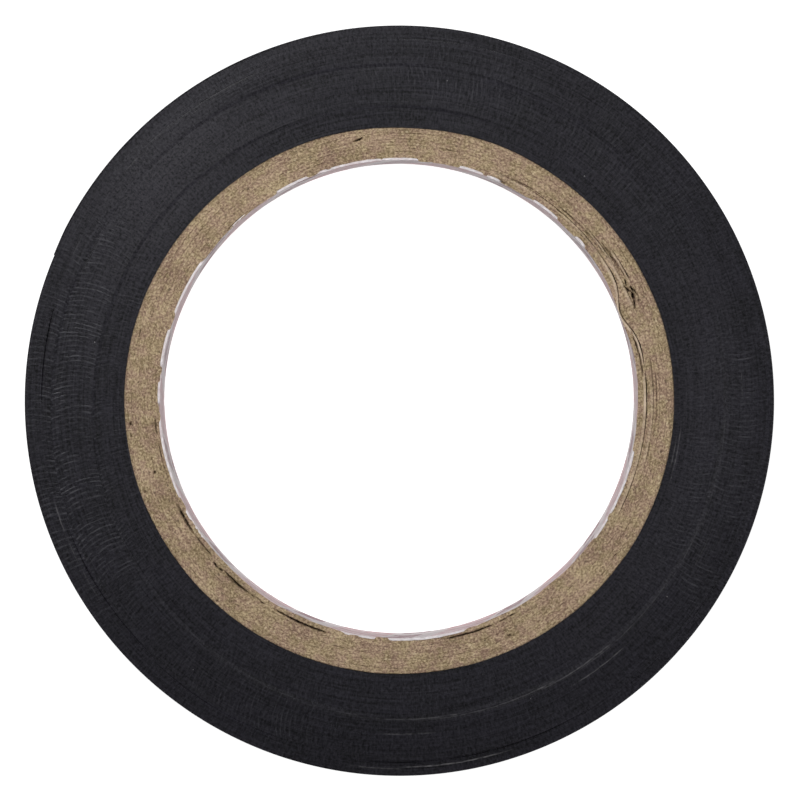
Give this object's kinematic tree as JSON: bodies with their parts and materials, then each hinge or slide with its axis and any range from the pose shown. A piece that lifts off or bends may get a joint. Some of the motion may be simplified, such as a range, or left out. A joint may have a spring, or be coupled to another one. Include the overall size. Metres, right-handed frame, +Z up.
{
  "type": "electrical tape roll",
  "caption": "Roll of black vinyl electrical insulation tape on a laminated board core with a paper-lined bore, its free end able to peel away.",
  "frame": {"origin": "centre of the bore at the lower face of the roll, which lies flat", "axes": "+Z up along the bore axis, through the width of the tape; +X and +Y in the plane of the face. The free end of the tape is cut at 157 degrees from +X towards +Y, and the strip runs clockwise from it, seen from +Z."},
  "size_m": [0.0592, 0.0593, 0.015],
  "materials": {
    "liner_paper": "matte",
    "tube_board": "matte",
    "vinyl_tape_edge": "satin",
    "vinyl_tape": "satin"
  },
  "bodies": {
    "roll": {"printed_liner": "liner_paper", "core_ply_1": "tube_board", "core_ply_2": "tube_board", "core_ply_3": "tube_board", "core_ply_4": "tube_board", "core_ply_5": "tube_board", "wound_turns": "vinyl_tape_edge", "last_turn": "vinyl_tape"},
    "free_end_1": {"free_end_1": "vinyl_tape"},
    "free_end_2": {"free_end_2": "vinyl_tape"},
    "free_end_3": {"free_end_3": "vinyl_tape"},
    "free_end_4": {"free_end_4": "vinyl_tape"},
    "free_end_5": {"free_end_5": "vinyl_tape"},
    "free_end_6": {"free_end_6": "vinyl_tape"}
  },
  "joints": [
    {"name": "peel_1", "type": "hinge", "parent": "roll", "child": "free_end_1", "pos_m": [-0.00968, 0.02805, 0.0075], "axis": [0, 0, -1], "range_deg": [0, 40]},
    {"name": "peel_2", "type": "hinge", "parent": "free_end_1", "child": "free_end_2", "pos_m": [-0.01349, 0.02643, 0.0075], "axis": [0, 0, -1], "range_deg": [0, 36]},
    {"name": "peel_3", "type": "hinge", "parent": "free_end_2", "child": "free_end_3", "pos_m": [-0.01704, 0.0243, 0.0075], "axis": [0, 0, -1], "range_deg": [0, 24]},
    {"name": "peel_4", "type": "hinge", "parent": "free_end_3", "child": "free_end_4", "pos_m": [-0.02025, 0.0217, 0.0075], "axis": [0, 0, -1], "range_deg": [0, 14]},
    {"name": "peel_5", "type": "hinge", "parent": "free_end_4", "child": "free_end_5", "pos_m": [-0.02307, 0.01867, 0.0075], "axis": [0, 0, -1], "range_deg": [0, 10]},
    {"name": "peel_6", "type": "hinge", "parent": "free_end_5", "child": "free_end_6", "pos_m": [-0.02545, 0.01528, 0.0075], "axis": [0, 0, -1], "range_deg": [0, 8]}
  ],
  "couplings": [
    {"joint": "peel_2", "follows": "peel_1", "ratio": 0.9},
    {"joint": "peel_3", "follows": "peel_1", "ratio": 0.6},
    {"joint": "peel_4", "follows": "peel_1", "ratio": 0.35},
    {"joint": "peel_5", "follows": "peel_1", "ratio": 0.25},
    {"joint": "peel_6", "follows": "peel_1", "ratio": 0.2}
  ]
}
